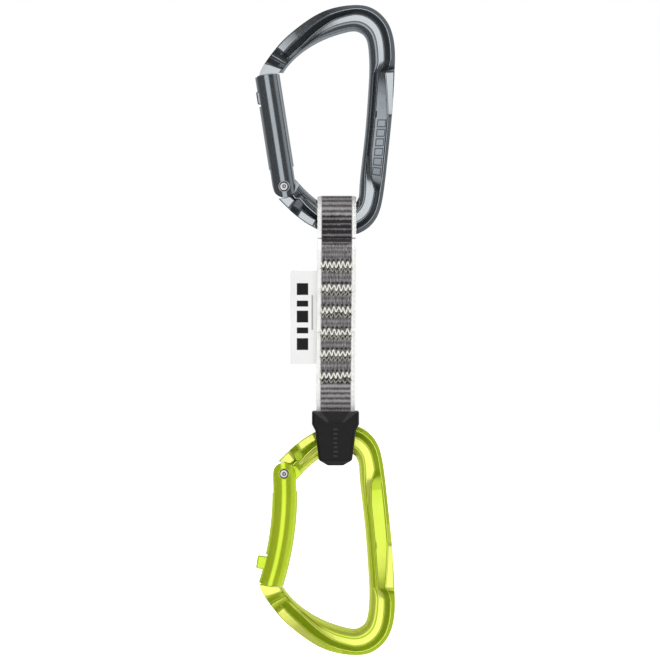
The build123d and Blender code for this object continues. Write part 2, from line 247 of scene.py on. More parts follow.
def tube(path, radius, sides=8):
    """A round tube along a path: each ring stands across the path's direction."""
    path = np.asarray(path, float)
    ahead = np.gradient(path, axis=0)
    ahead /= np.linalg.norm(ahead, axis=1)[:, None]
    side = np.cross(ahead, (0, 1, 0))
    side /= np.linalg.norm(side, axis=1)[:, None]
    up = np.cross(side, ahead)
    turn = np.linspace(0, 2 * pi, sides, endpoint=False)
    return path[:, None] + radius * (
        np.cos(turn)[None, :, None] * side[:, None] + np.sin(turn)[None, :, None] * up[:, None]
    )


def lathe(profile, centre, sides=40):
    """A surface turned about an axis along Y through centre: the profile is (radius, y) points."""
    profile = np.asarray(profile, float)
    turn = np.linspace(0, 2 * pi, sides, endpoint=False)
    r, y = profile[:, :1], profile[:, 1:]
    return np.stack([centre[0] + r * np.cos(turn), y + 0 * turn, centre[1] + r * np.sin(turn)], -1)


def plate(outline, half, bevel):
    """A flat plate in the XZ plane: its outline, drawn in by bevel where it meets the two faces."""
    outline = np.asarray(outline, float)
    ahead = np.roll(outline, -1, 0) - np.roll(outline, 1, 0)
    inward = np.stack([-ahead[:, 1], ahead[:, 0]], -1)
    inward /= np.linalg.norm(inward, axis=1)[:, None]
    turned = np.cross(outline, np.roll(outline, -1, 0)).sum()
    inward *= 1 if turned > 0 else -1
    rows = []
    for y, into in ((-half, bevel), (bevel - half, 0.0), (half - bevel, 0.0), (half, bevel)):
        flat = outline + into * inward
        rows.append(np.stack([flat[:, 0], np.full(len(flat), y), flat[:, 1]], -1))
    return np.stack(rows)


def merged(*grids):
    """One set of points and faces from several closed surfaces made of rings."""
    points, faces, first = [], [], 0
    for grid in grids:
        rows, columns = grid.shape[:2]
        points.append(grid.reshape(-1, 3))
        faces += ring_faces(rows, columns, first)
        first += rows * columns
    return np.concatenate(points), faces


# ================================================================ finishes
FRAMES = (57.0, 82.2)  # the engraved stretch along the bar, in mm from the hinge
FRAME_PITCH, FRAME_LONG, FRAME_HALF, FRAME_LINE = 4.2, 1.5, 1.7, 0.42
FRAME_MIDDLE = 7.0  # across the bar, in mm from its inner edge
POLISH = 0.004  # height of the polishing marks
ENGRAVED = 40  # depth of the frames, in heights of a polishing mark


def engraved_frames(made):
    """A row of plain engraved rectangles: the outline is where the larger of the two distances is small."""
    u, v = made.uv()
    step = ((v - FRAMES[0]) * (1 / FRAME_PITCH)).math("FRACT")
    along = (step - 0.5).size() * FRAME_PITCH - FRAME_LONG
    across = (u - FRAME_MIDDLE).size() - FRAME_HALF
    far = along.math("MAXIMUM", across)
    line = spread(FRAME_LINE / 2 - far.size(), 0.0, 0.12)
    return line * v.above(FRAMES[0]) * (1 - v.above(FRAMES[1]))


def anodised(name, base, deep, lit_and_worn, metal, engraved):
    """Polished anodised aluminium, in three colours: base; a darker one for random clouding, for painted
    shade in the channels and for the engraved lines; and a paler one for painted highlights on the bevels
    and for wear on the creases.

    One mask is the painted light: it runs from painted shade at -1 in a channel to a painted highlight at 1
    on a bevel. The mask "edge" marks sharp creases. The forging's UV map is in mm, across and along the
    bar, and places the row of engraved frames.
    """
    made = Shader(name, metallic=metal, coat_roughness=0.06, coat_ior=1.5)
    cloud = made.noise(9.0, 2.0)
    knocks = spread(made.noise(1.6, 3.0), 0.45, 0.75)
    edge, painted_light = made.mask("edge"), made.mask("painted_light")
    colour = made.mix(cloud * 0.5 + 0.1, base, deep)
    # Painted shade in the channels, a darker copy of the darker colour, darkest on the engraved slate body.
    sunk = 0.42 if engraved else 0.68
    colour = made.mix((painted_light * -1.0).clamp(), colour, tuple(sunk * c for c in deep))
    # Painted highlights on the bevels, and wear on the creases where knocks chipped them.
    colour = made.mix((painted_light + edge * (0.12 + 0.2 * knocks)).clamp(), colour, lit_and_worn)
    lines = 0.0
    if engraved:
        lines = engraved_frames(made) * made.mask("engrave")
        colour = made.mix(lines * 0.75, colour, tuple(0.3 * c for c in deep))
    made.feed("Base Color", colour)
    made.feed("Roughness", 0.12 + 0.08 * made.noise(2.2, 3.0) + edge * knocks * 0.08)
    made.feed("Coat Weight", 0.35 - 0.2 * edge)
    made.bump(made.noise(4.0, 2.0) - ENGRAVED * lines, POLISH, 0.6)
    return made


SLATE = anodised(
    "slate_anodising", (0.40, 0.44, 0.475), (0.27, 0.31, 0.345), (0.58, 0.62, 0.65), 0.94, engraved=True
)
LIME = anodised(
    "lime_anodising", (0.73, 0.92, 0.045), (0.54, 0.75, 0.016), (0.92, 0.98, 0.18), 0.62, engraved=False
)


def steel():
    """Bright stainless steel with fine turning marks."""
    made = Shader("stainless_steel", metallic=1.0)
    made.feed("Base Color", made.mix(made.noise(1.2), (0.82, 0.82, 0.83), (0.66, 0.66, 0.68)))
    made.feed("Roughness", 0.1 + 0.12 * made.noise(0.4))
    made.bump(made.noise(0.12, 2.0, (1, 6, 1)), 0.003, 0.5)
    return made


def wire():
    """Drawn spring wire, slightly oily."""
    made = Shader("spring_wire", metallic=1.0)
    made.feed("Base Color", made.mix(made.noise(0.8), (0.45, 0.44, 0.43), (0.3, 0.3, 0.31)))
    made.feed("Roughness", 0.25 + 0.2 * made.noise(0.3))
    made.bump(made.noise(0.1, 2.0, (1, 1, 8)), 0.004, 0.5)
    return made


STEEL, WIRE = steel(), wire()

SLING_X = -6.9
WEB_WIDE = 17.0
SELVEDGE = 1.75
RIB = 2.25  # one light and one dark rib
WARP = 0.62  # from thread to thread across the webbing
WEFT = 0.9  # from thread to thread along the selvedges
TOOTH = 2.0  # of the bartacks
STITCH_LINE, STITCH_HALF = 7.75, 0.22  # a sewn line beside the right edge: its place and half its width


def woven():
    """Webbing: white selvedges, a grey middle with ribs across it, and warp threads along it.

    How light the grey yarn is comes from sines for the ribs and the warp, and from noise; where the layers
    are sewn together the ribs are flatter and the yarn is more mottled. The UV map is in mm, across the
    strip from its middle in u and along it in v.
    """
    made = Shader("woven_webbing", sheen_roughness=0.5, sheen_weight=0.2)
    u, v = made.uv()
    flat = made.uv_vector()
    uneven = made.node("TexNoise", Vector=flat, Scale=0.5, Detail=3.0)
    drift = made.node("TexNoise", Vector=flat, Scale=0.16, Detail=2.0)
    fuzz = made.node("TexNoise", Vector=flat, Scale=2.6, Detail=3.0)
    long = made.node("Mapping", Vector=flat, Scale=(1.7, 0.4, 1.0))
    streak = made.node("TexNoise", Vector=long, Scale=1.0, Detail=3.0)
    warp = ((u + 0.5 * uneven) * (2 * pi / WARP)).sine() * 0.5 + 0.5
    rib = ((v + 0.7 * uneven + 0.3 * streak) * (2 * pi / RIB)).sine() * 0.5 + 0.5
    side, plain, sewn_down = made.mask("side"), made.mask("plain"), made.mask("sewn_down")
    light = rib * (0.62 - 0.42 * sewn_down) + fuzz * (0.3 + 0.3 * sewn_down) + drift * 0.3
    light = light + warp * (0.12 + 0.45 * sewn_down) + streak * (0.5 + 0.6 * sewn_down)
    light = light + plain * 0.48 - sewn_down * 0.1 - 0.22
    grey = made.mix(spread(light, 0.72, 1.75), (0.016, 0.014, 0.016), (0.43, 0.41, 0.42))
    # Dark patches beside the bartacks, in a row that follows the teeth: needle marks, and painted shade
    # round the stitching.
    holes_and_shade = ((u * (2 * pi / TOOTH)).sine() * 0.35 + 0.35 + 0.9 * fuzz) * made.mask("pricked_and_shaded")
    grey = made.mix(spread(holes_and_shade, 0.35, 0.95), grey, (0.012, 0.012, 0.010))
    cross = (v * (2 * pi / WEFT)).sine() * 0.5 + 0.5
    white = made.mix(cross * warp, (0.80, 0.80, 0.785), (0.93, 0.93, 0.91))
    sewn = (STITCH_HALF - (u - STITCH_LINE).size()).above(0.0) * (v * (2 * pi / RIB)).sine().above(-0.3)
    white = made.mix(sewn * 0.45, white, (0.50, 0.51, 0.49))
    made.feed("Base Color", made.mix(side, grey, white))
    made.feed("Roughness", 0.72 + 0.2 * uneven)
    made.bump(warp * 0.6 + cross * side * 0.5 + fuzz * 0.5, 0.12, 0.9)
    return made


def thread(name, light, dark):
    """Twisted polyester sewing thread."""
    made = Shader(name, roughness=0.6, sheen_weight=0.3)
    made.feed("Base Color", made.mix(spread(made.noise(0.5, 2.0, (1, 1, 3)), 0.3, 0.6), dark, light))
    made.bump(made.noise(0.2, 3.0), 0.05, 0.8)
    return made


CREAM = thread("cream_thread", (0.88, 0.88, 0.81), (0.64, 0.65, 0.55))
# A darker copy of the same thread: painted shade, for the bartacks' sunk rows.
SHADE = thread("shaded_thread", (0.42, 0.42, 0.34), (0.08, 0.08, 0.06))
WOVEN = woven()


def rubber():
    """Matt black moulded rubber with a fine mould texture, and a mottled paler grey on the keeper's raised
    bars and in its funnel, most on the funnel's slanting sides.
    """
    made = Shader("moulded_rubber", specular_ior_level=0.45)
    paler_grey = (0.5 + 0.5 * made.noise(0.7, 4.0)) * made.mask("edge")
    made.feed("Base Color", made.mix(paler_grey * 0.6, (0.008, 0.008, 0.009), (0.15, 0.15, 0.155)))
    made.feed("Roughness", 0.42 + 0.22 * made.noise(1.5, 4.0))
    made.bump(made.noise(0.22, 3.0), 0.02, 0.6)
    return made


TAPE_THREAD = 0.4  # from thread to thread
# Printed blocks down the label: (middle across, middle along, half width, half length).
LABEL_PRINT = [
    (-22.2, -113.2, 2.5, 2.6),
    (-22.2, -119.6, 2.5, 1.3),
    (-22.2, -125.3, 2.5, 2.6),
    (-22.2, -131.4, 2.5, 1.3),
    (-22.2, -137.4, 2.5, 2.6),
    (-17.9, -123.5, 0.35, 7.6),
]


def tape():
    """White woven label tape with plain printed blocks; the UV map is in mm, across and along."""
    made = Shader("label_tape", roughness=0.62)
    u, v = made.uv()
    fine = (v * (2 * pi / TAPE_THREAD)).sine() * 0.5 + 0.5
    over = (u * (2 * pi / TAPE_THREAD)).sine() * 0.5 + 0.5
    ink = 0.0
    for across, along, half, long in LABEL_PRINT:
        far = ((u - across).size() - half).math("MAXIMUM", (v - along).size() - long)
        shown = spread(far * -1.0, -0.06, 0.06)
        ink = shown + ink if half > 1 else shown * 0.55 + ink
    white = made.mix(fine * over, (0.79, 0.79, 0.785), (0.84, 0.84, 0.835))
    made.feed("Base Color", made.mix(ink, white, (0.008, 0.008, 0.009)))
    made.bump(fine + over, 0.02, 0.6)
    return made


RUBBER, TAPE = rubber(), tape()

# ================================================================ forged bodies
# Stations round the body, from the hinge to the nose: (inner edge, outer edge), as (x, z).
STATIONS = [
    ((-25.2, -65.0), (-32.6, -74.0)),
    ((-20.5, -70.0), (-27.2, -79.3)),
    ((-15.5, -74.2), (-20.7, -84.4)),
    ((-10.5, -77.2), (-13.3, -88.1)),
    ((-5.0, -78.3), (-4.8, -90.1)),
    ((-0.4, -77.0), (4.0, -88.2)),
    ((2.2, -73.2), (10.6, -81.6)),
    ((2.8, -66.5), (13.6, -70.0)),
    ((4.1, -54.1), (15.4, -54.3)),
    ((5.3, -43.0), (16.6, -43.0)),
    ((6.3, -30.0), (17.7, -30.0)),
    ((7.0, -18.0), (18.4, -16.5)),
    ((6.9, -10.5), (18.3, -6.5)),
    ((5.9, -4.0), (15.6, 3.2)),
    ((3.4, -0.9), (9.0, 9.8)),
    ((0.0, 0.0), (1.0, 11.5)),
    ((-5.7, -1.2), (-9.0, 10.1)),
    ((-13.3, -4.0), (-18.3, 5.9)),
    ((-21.0, -8.5), (-27.6, -1.1)),
    ((-27.0, -13.7), (-34.4, -8.1)),
    ((-31.0, -19.0), (-40.1, -16.6)),
    ((-33.6, -24.4), (-41.4, -22.4)),
]
MIRROR_Z = -131.25
PIVOT = np.array([-30.2, -68.3])
LEAN, OPEN = radians(8.85), radians(35)
BENT_TURN = radians(12.4)  # the bent gate leaves its rivet this much further to the right
HEEL_CLEAR, TIP_CLEAR = 5.2, 49.8
BACK_CLEAR = 6.0  # half the width of the open gate, with its gap
HINGE_END_Z = -55.0  # the bar's end at the hinge is below this
NOSE_END_X, NOSE_END_Z = -15.0, -40.0  # and its end at the nose is left of this and above this
CAM_R, CAM_RISE = 4.0, 1.6  # the cam's radius grows by so much a radian

# The relief of the face at each key station. Shares of the width from the inner edge: the end of the
# round rim, the ridge, the start of the chamfer. Heights: the rim, the foot and the top of the inner
# bevel, the start and the end of the channel, the chamfer's top and foot. Last: the painted light on the
# bevel, the channel and the chamfer, from painted shade at -1 to a painted highlight at 1.
RELIEF = [
    (0.0, 0.16, 0.40, 0.66, 4.0, 3.6, 3.9, 3.7, 3.0, 4.6, 4.3, -0.8, -1.0, 0.8),
    (0.75, 0.20, 0.48, 0.62, 4.2, 3.9, 4.3, 2.9, 3.6, 4.7, 4.4, -0.8, -1.0, 0.8),
    (0.95, 0.22, 0.36, 0.80, 4.3, 3.9, 4.7, 3.4, 3.2, 3.9, 3.2, 0.3, -1.0, -0.9),
    (1.3, 0.22, 0.38, 0.76, 4.3, 4.1, 4.7, 3.6, 3.0, 4.3, 3.4, 0.6, -1.0, -0.8),
    (1.45, 0.22, 0.40, 0.72, 4.3, 4.2, 4.7, 3.7, 3.0, 4.7, 4.3, 0.6, -1.0, 0.7),
    (2.4, 0.25, 0.46, 0.72, 4.4, 4.4, 4.7, 3.9, 3.0, 4.7, 4.3, 0.8, -1.0, 0.7),
    (2.6, 0.27, 0.50, 0.86, 4.4, 4.5, 4.8, 4.1, 3.1, 4.2, 3.0, 0.8, -1.0, -0.6),
    (4.0, 0.30, 0.55, 0.86, 4.5, 4.5, 4.8, 4.1, 3.1, 4.0, 3.0, 0.8, -1.0, -0.6),
    (6.0, 0.28, 0.60, 0.88, 4.5, 4.5, 4.8, 4.1, 3.1, 4.0, 3.0, 0.8, -1.0, -0.6),
    (6.9, 0.26, 0.62, 0.88, 4.4, 4.4, 4.8, 4.1, 3.2, 4.1, 3.1, 0.8, -1.0, -0.6),
    (7.35, 0.20, 0.38, 0.90, 4.3, 4.1, 4.8, 3.9, 3.9, 4.3, 3.5, 0.4, -0.6, -0.6),
    (8.0, 0.17, 0.30, 0.90, 4.2, 3.6, 4.7, 4.1, 4.1, 4.5, 3.7, -0.3, -0.2, -0.6),
    (9.4, 0.17, 0.30, 0.88, 4.2, 3.6, 4.7, 4.1, 4.1, 4.5, 3.7, -0.3, -0.2, -0.4),
    (9.5, 0.17, 0.30, 0.86, 4.2, 3.6, 4.7, 4.1, 4.0, 4.7, 4.6, -0.3, -0.2, 0.8),
    (10.9, 0.18, 0.31, 0.66, 4.2, 3.6, 4.8, 3.9, 3.5, 4.7, 4.6, -0.3, -0.3, 0.9),
    (10.98, 0.22, 0.38, 0.74, 4.2, 3.8, 4.8, 3.9, 3.3, 4.2, 3.2, 0.0, -1.0, -1.0),
    (11.12, 0.28, 0.48, 0.80, 4.3, 4.2, 4.8, 4.0, 3.0, 4.2, 3.0, 0.6, -1.0, -0.6),
    (11.4, 0.33, 0.56, 0.86, 4.4, 4.4, 4.8, 4.1, 3.1, 4.0, 3.0, 0.8, -1.0, -0.6),
    (13.0, 0.33, 0.58, 0.88, 4.5, 4.5, 4.8, 4.1, 3.1, 4.0, 3.0, 0.8, -1.0, -0.6),
    (15.0, 0.34, 0.60, 0.88, 4.5, 4.5, 4.8, 4.1, 3.1, 4.0, 3.0, 0.8, -1.0, -0.6),
    (16.2, 0.32, 0.50, 0.82, 4.5, 4.5, 4.8, 4.1, 3.2, 4.2, 3.0, 0.8, -1.0, -0.4),
    (17.1, 0.24, 0.36, 0.74, 4.4, 4.5, 4.7, 4.0, 3.3, 4.6, 3.6, 0.6, -1.0, 0.2),
    (17.9, 0.14, 0.22, 0.64, 4.3, 4.4, 4.6, 3.9, 3.3, 4.7, 4.2, 0.2, -1.0, 0.6),
    (18.85, 0.11, 0.20, 0.60, 4.1, 4.0, 4.5, 3.8, 3.3, 4.7, 4.3, 0.0, -1.0, 0.6),
    (18.98, 0.11, 0.24, 0.62, 4.0, 3.9, 4.0, 3.8, 3.7, 3.9, 3.3, -0.9, -1.0, -1.0),
    (19.28, 0.12, 0.30, 0.64, 4.0, 4.3, 4.5, 4.4, 4.4, 4.4, 4.0, 0.3, 0.2, 0.1),
    (19.36, 0.12, 0.34, 0.70, 4.0, 3.9, 4.0, 3.9, 3.8, 3.8, 3.4, -0.9, -1.0, -1.0),
    (19.62, 0.12, 0.36, 0.75, 4.0, 4.1, 4.2, 4.2, 4.2, 4.1, 3.7, -0.6, -0.6, -0.6),
    (19.7, 0.12, 0.4, 0.8, 4.2, 4.4, 4.5, 4.5, 4.5, 4.5, 4.3, 0.8, 0.8, 0.8),
    (21.0, 0.12, 0.4, 0.8, 4.2, 4.4, 4.5, 4.5, 4.5, 4.5, 4.3, 0.8, 0.8, 0.8),
]
FACET = (0.0, 0.12, 0.88)  # columns of a facet, as shares: they stand close to its creases
RIM_COLUMNS, EDGE_COLUMNS = 10, 8


def section(key):
    """Half of the body's section at each station, from the inner edge to the outer.

    It gives each column's share of the width, its height and its painted light, which is painted shade
    below 0 and a painted highlight above 0. The rim is nearly a quarter ellipse; a narrow step, a bevel up
    to the ridge, two fine steps down, the channel, a step up and the chamfer are straight; the outer edge
    is a quarter of a squarish ellipse. The fine steps fade out where the channel is shallow.
    """
    rim, ridge, chamfer, y_rim, y_foot, y_top, y_in, y_out, y_edge, y_low, bevel, floor, slope = key.T
    low = 0.5 * (chamfer + 1) + 0.42 * (1 - chamfer)
    step = np.clip((y_top - y_in) / 0.5, 0, 1)
    ledge_step = np.clip((y_edge - y_out - 0.1) / 0.2, 0, 1)
    corners = [
        (rim, y_rim),
        (rim + 0.035, y_foot),
        (ridge, y_top),
        (ridge + 0.018, y_top - 0.22 * step),
        (ridge + 0.045, y_top - 0.26 * step),
        (ridge + 0.07, y_in),
        (chamfer - 0.055, y_out),
        (chamfer - 0.04, (y_out + y_edge) / 2),
        (chamfer - 0.015, (y_out + y_edge) / 2 + 0.05 * ledge_step),
        (chamfer, y_edge),
        (low, y_low),
    ]
    # Painted light on each facet, from painted shade at -1 to a painted highlight at 1: the narrow step is
    # in painted shade unless the bevel is bright and the step is flat, and the fine steps and the ledge get
    # painted shade and highlights of their own where they stand out.
    inner_step = np.clip((y_top - y_in - 0.2) / 0.3, 0, 1)
    lips = [bevel + inner_step * (shade - bevel) for shade in (-0.8, 0.8, -1.0)]
    ledge = [slope + ledge_step * (shade - slope) for shade in (-0.6, 0.4, -0.6)]
    facet_painted_light = [-1.0 + (bevel > 0.75) * (y_top - y_in < 0.2) * 1.8, bevel, *lips, floor, *ledge, slope]
    turn = np.linspace(0, pi / 2, RIM_COLUMNS + 1)[:-1]
    share = [rim * (1 - cos(a)) for a in turn]
    height = [y_rim * sin(a) ** 0.92 for a in turn]
    painted_light = [0 * rim for a in turn]
    for (s0, y0), (s1, y1), shade in zip(corners, corners[1:], facet_painted_light):
        for at in FACET:
            share.append(s0 + at * (s1 - s0))
            height.append(y0 + at * (y1 - y0))
            painted_light.append(0 * rim + shade)
    # The rounded outer edge gets a little painted shade.
    for a in np.linspace(0, pi / 2, EDGE_COLUMNS + 1):
        share.append(low + (1 - low) * sin(a) ** 0.8)
        height.append(y_low * max(cos(a), 0.0) ** 0.8)
        painted_light.append(0 * rim - 0.3)
    return np.stack(share, -1), np.stack(height, -1), np.stack(painted_light, -1)


def clear_of_gate(flat, bent):
    """Pulls the ends back to the gate's heel circle, to the open gate's side and to its tip circle."""
    rel = flat - PIVOT
    reach = np.maximum(np.linalg.norm(rel, axis=-1, keepdims=True), 1e-6)
    low = flat[..., 1:] < HINGE_END_Z
    flat = np.where(low & (reach < HEEL_CLEAR), PIVOT + rel * HEEL_CLEAR / reach, flat)
    turn = OPEN - LEAN + (BENT_TURN if bent else 0)
    along, across = np.array([sin(turn), cos(turn)]), np.array([cos(turn), -sin(turn)])
    rel = flat - PIVOT
    a, c = (rel @ along)[..., None], (rel @ across)[..., None]
    in_way = low & (a > 0) & (c < BACK_CLEAR) & (c > -BACK_CLEAR)
    flat = np.where(in_way, PIVOT + a * along + BACK_CLEAR * across, flat)
    near_nose = (flat[..., 1:] > NOSE_END_Z) & (flat[..., :1] < NOSE_END_X) & (reach < TIP_CLEAR)
    return np.where(near_nose, PIVOT + rel * TIP_CLEAR / reach, flat)


STEPS = 24  # rows between two stations


def forging(bent):
    """The forged bar: at each station its section is laid from the inner to the outer edge.

    Both edges are splines through the stations, and the back half mirrors the front one.
    """
    at = np.linspace(0, len(STATIONS) - 1, STEPS * (len(STATIONS) - 1) + 1)
    inner = spline([s[0] for s in STATIONS], at)
    outer = spline([s[1] for s in STATIONS], at)
    table = np.array(RELIEF)
    key = np.stack([np.interp(at, table[:, 0], table[:, k]) for k in range(1, table.shape[1])], -1)
    # Each column's painted light comes too: painted shade in the channels, painted highlights on the
    # bevels.
    share, height, painted_light = section(key)
    back = slice(-2, 0, -1)
    share = np.concatenate([share, share[:, back]], 1)
    painted_light = np.concatenate([painted_light, painted_light[:, back]], 1)
    height = np.concatenate([height, -height[:, back]], 1)
    across = np.linalg.norm(outer - inner, axis=1)[:, None] * share
    middle = (inner + outer) / 2
    run = np.concatenate([[0], np.cumsum(np.linalg.norm(np.diff(middle, axis=0), axis=1))])
    flat = clear_of_gate(inner[:, None] + share[..., None] * (outer - inner)[:, None], bent)
    grid = np.stack([flat[..., 0], -height, flat[..., 1]], -1)
    bend = np.abs(np.diff(height, 2, axis=1, prepend=height[:, -1:], append=height[:, :1]))
    uv = np.stack([across, run[:, None] + 0 * across], -1)
    return grid, uv, {"edge": np.clip(bend / 0.12, 0, 1), "painted_light": painted_light}


def turned_over(grid):
    """The same points on the lower carabiner, half a turn about a line along X."""
    return np.stack([grid[..., 0], -grid[..., 1], 2 * MIRROR_Z - grid[..., 2]], -1)


def from_gate(points):
    """Points given across and along the closed straight gate, as (x, z)."""
    across = np.array([cos(LEAN), sin(LEAN)])
    along = np.array([-sin(LEAN), cos(LEAN)])
    points = np.asarray(points, float)
    return PIVOT + points[:, :1] * across + points[:, 1:] * along


def rounded(x0, x1, y0, y1, r, corner=6):
    """The outline of a rectangle with round corners."""
    outline = []
    for k, (x, y) in enumerate(((x1 - r, y1 - r), (x0 + r, y1 - r), (x0 + r, y0 + r), (x1 - r, y0 + r))):
        for a in np.linspace(k * pi / 2, (k + 1) * pi / 2, corner):
            outline.append((x + r * cos(a), y + r * sin(a)))
    return outline


def tang():
    """The hinge tang: its cam is a spiral round the rivet, then it runs into the bar."""
    cam = [radians(a) for a in np.linspace(-30, 55, 14)]
    outline = [((CAM_R + CAM_RISE * a) * sin(a), (CAM_R + CAM_RISE * a) * cos(a)) for a in cam]
    outline += [(5.6, 2.0), (9.0, -3.0), (9.5, -6.5), (3.6, -9.6)]
    outline += [(4.9 * sin(a), 4.9 * cos(a)) for a in np.linspace(radians(190), radians(320), 14)]
    return plate(from_gate(outline), 2.2, 0.3)


def nose():
    """The keylock nose: a thin neck and a wider head."""
    neck = plate(from_gate(rounded(-2.6, 0.8, 40.0, 52.0, 0.3)), 1.6, 0.2)
    head = plate(from_gate(rounded(-5.9, 0.8, 37.2, 43.0, 0.7)), 2.8, 0.5)
    return neck, head


def body(which, finish):
    """One forged body with its tang and nose, which replaces the plain one."""
    grid, uv, masks = forging(which == "lower")
    masks["engrave"] = np.full(masks["edge"].shape, 1.0 if which == "upper" else 0.0)
    extra = [tang(), *nose()]
    if which == "lower":
        grid, extra = turned_over(grid), [turned_over(part) for part in extra]
        # The lime body gets 0.5 more painted highlight on every facet that is not in deep painted shade.
        masks["painted_light"] = np.where(masks["painted_light"] > -0.5, masks["painted_light"] + 0.5, masks["painted_light"])
    bar = rings(f"{which}_forging", grid, finish, uv=uv.reshape(-1, 2), masks=masks, crease=50)
    points, faces = merged(*extra)
    ends = to_object(f"{which}_tang_and_nose", points, faces, finish, crease=40)
    for made in (bar, ends):
        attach(made, f"{which}_carabiner")
    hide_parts(f"{which}_body")


def rivet(which):
    """A headed rivet turned about the hinge's axis: each head is domed, with a dimple in its middle."""
    head = [(0.0, 5.35), (0.55, 5.35), (0.85, 5.55), (1.0, 5.82), (1.55, 5.85), (1.95, 5.7), (2.15, 5.4)]
    shaft = [(2.15, 5.0), (2.1, 4.96), (1.5, 4.95)]
    half = head + shaft
    profile = [(max(r, 0.01), y) for r, y in half] + [(max(r, 0.01), -y) for r, y in half[::-1]]
    grid = lathe(profile, PIVOT)
    if which == "lower":
        grid = turned_over(grid)
    made = rings(f"{which}_headed_rivet", grid, STEEL, crease=35)
    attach(made, f"{which}_carabiner")
    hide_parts(f"{which}_gate_rivet")


COIL_R, COIL_TURNS, COIL_WIRE = 1.55, 9, 0.25
COIL_END = 21.7  # up the gate's bore from the rivet
COIL_START = {"upper": 9.35, "lower": 9.35 + CAM_RISE * BENT_TURN}


def coil(which):
    """The coil spring in a gate's bore: a helix of wire that shortens as the pusher slides."""
    lean = LEAN - (BENT_TURN if which == "lower" else 0)
    across, along = np.array([cos(lean), sin(lean)]), np.array([-sin(lean), cos(lean)])
    t = np.linspace(0, 1, 24 * COIL_TURNS + 1)[:, None]
    start, turn = COIL_START[which], 2 * pi * COIL_TURNS * t
    axis = PIVOT + (start + (COIL_END - start) * t) * along
    flat = axis + COIL_R * np.cos(turn) * across
    path = np.stack([flat[:, 0], COIL_R * np.sin(turn[:, 0]), flat[:, 1]], -1)
    ends = np.insert(axis[[0, -1]], 1, 0.0, axis=1)
    grid = tube(path, COIL_WIRE)
    if which == "lower":
        grid, ends = turned_over(grid), turned_over(ends)
    made = rings(f"{which}_coil_spring", grid, WIRE, crease=60)
    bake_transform(made)
    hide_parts(f"{which}_gate_spring")


# ================================================================ webbing
LAYER = 1.53  # from the middle of one sewn layer to the next
WEB_THICK = 1.42
CUT_Z = -91.1  # the cut end on the front
SPLIT_Z = -132.0  # where the two pieces of webbing meet, under a bartack
TUCK_Z = -155.0  # the cut end between the outer layers
TOP_BEND, LOW_BEND = -79.0, -182.1
TOP_R, LOW_R = 6.05, 5.8  # at the middle of the webbing's thickness
BARTACK_Z = (-102.5, -112.6, -122.3, -132.0, -141.4, -151.0)
PINCH = 0.22
TOP_SPREAD, LOW_SPREAD = (-96.0, -88.5), (-166.5, -173.3)  # where the layers part towards each loop
CLOSED_UP = 0.72  # the outer layers come this much closer below the tucked end
KEEPER_SQUEEZE = 4.7  # the webbing is this much narrower inside the keeper
CUT_ROUND = 0.6  # a cut end thins out over this length


def ease(t):
    """A soft step from 0 to 1: three t squared less two t cubed."""
    t = np.clip(t, 0, 1)
    return t * t * (3 - 2 * t)


def sling_middle(z):
    """The sling hangs a little askew: its middle drifts to the left on the way down."""
    return SLING_X - 0.2 - 0.55 * ease((-80 - np.asarray(z, float)) / 85)


def pinched(z):
    """How far the bartacks draw the outer layers in at a height: a bell round each of them."""
    return PINCH * np.exp(-(((np.asarray(z)[:, None] - np.array(BARTACK_Z)) / 1.7) ** 2)).sum(1)


def parted(z, between):
    """How far the layers have parted at a height: 0 at the first height of between, 1 at the second."""
    start, end = between
    return ease((z - start) / (end - start))


def leg(z, sewn, loop):
    """The depth of an upper layer at a height: its sewn place, then eased out to its side of the loop."""
    away = parted(z, TOP_SPREAD)
    return sewn * (1 - pinched(z) / LAYER) * (1 - away) + loop * away


def width_at(z):
    """The webbing's width at a height: it is squeezed narrower inside the keeper."""
    return WEB_WIDE - KEEPER_SQUEEZE * ease((-166.0 - z) / 6.0)


def top_path():
    """The webbing round the upper rod: up the front as the middle layer, over, and down the back."""
    rise = np.linspace(SPLIT_Z, TOP_BEND, 160)
    over = np.linspace(0, pi, 61)[1:-1]
    front = np.stack([leg(rise, 0.0, -TOP_R), rise], -1)
    bend = np.stack([-TOP_R * np.cos(over), TOP_BEND + TOP_R * np.sin(over)], -1)
    fall = rise[::-1]
    back = np.stack([leg(fall, LAYER, TOP_R), fall], -1)
    return np.concatenate([front, bend, back])


def front_path():
    """The cut end over the middle layer, and down the front."""
    z = np.linspace(CUT_Z, SPLIT_Z, 130)
    return np.stack([leg(z, -LAYER, -TOP_R - LAYER), z], -1)


def low_path():
    """The webbing round the lower rod: down the front, under, and up the back."""
    fall = np.linspace(SPLIT_Z, LOW_BEND, 150)
    tucked = LAYER - CLOSED_UP * ease((TUCK_Z - fall) / 4.0)
    under = np.linspace(0, pi, 51)[1:-1]
    away = parted(fall, LOW_SPREAD)
    front = np.stack([-(tucked - pinched(fall)) * (1 - away) - LOW_R * away, fall], -1)
    bend = np.stack([-LOW_R * np.cos(under), LOW_BEND - LOW_R * np.sin(under)], -1)
    back = front[::-1] * (-1, 1)
    return np.concatenate([front, bend, back])


def tuck_path():
    """The middle layer's other end, between the outer two."""
    z = np.linspace(SPLIT_Z, TUCK_Z, 60)
    return np.stack([0 * z, z], -1)


HALF_COLUMNS = 44


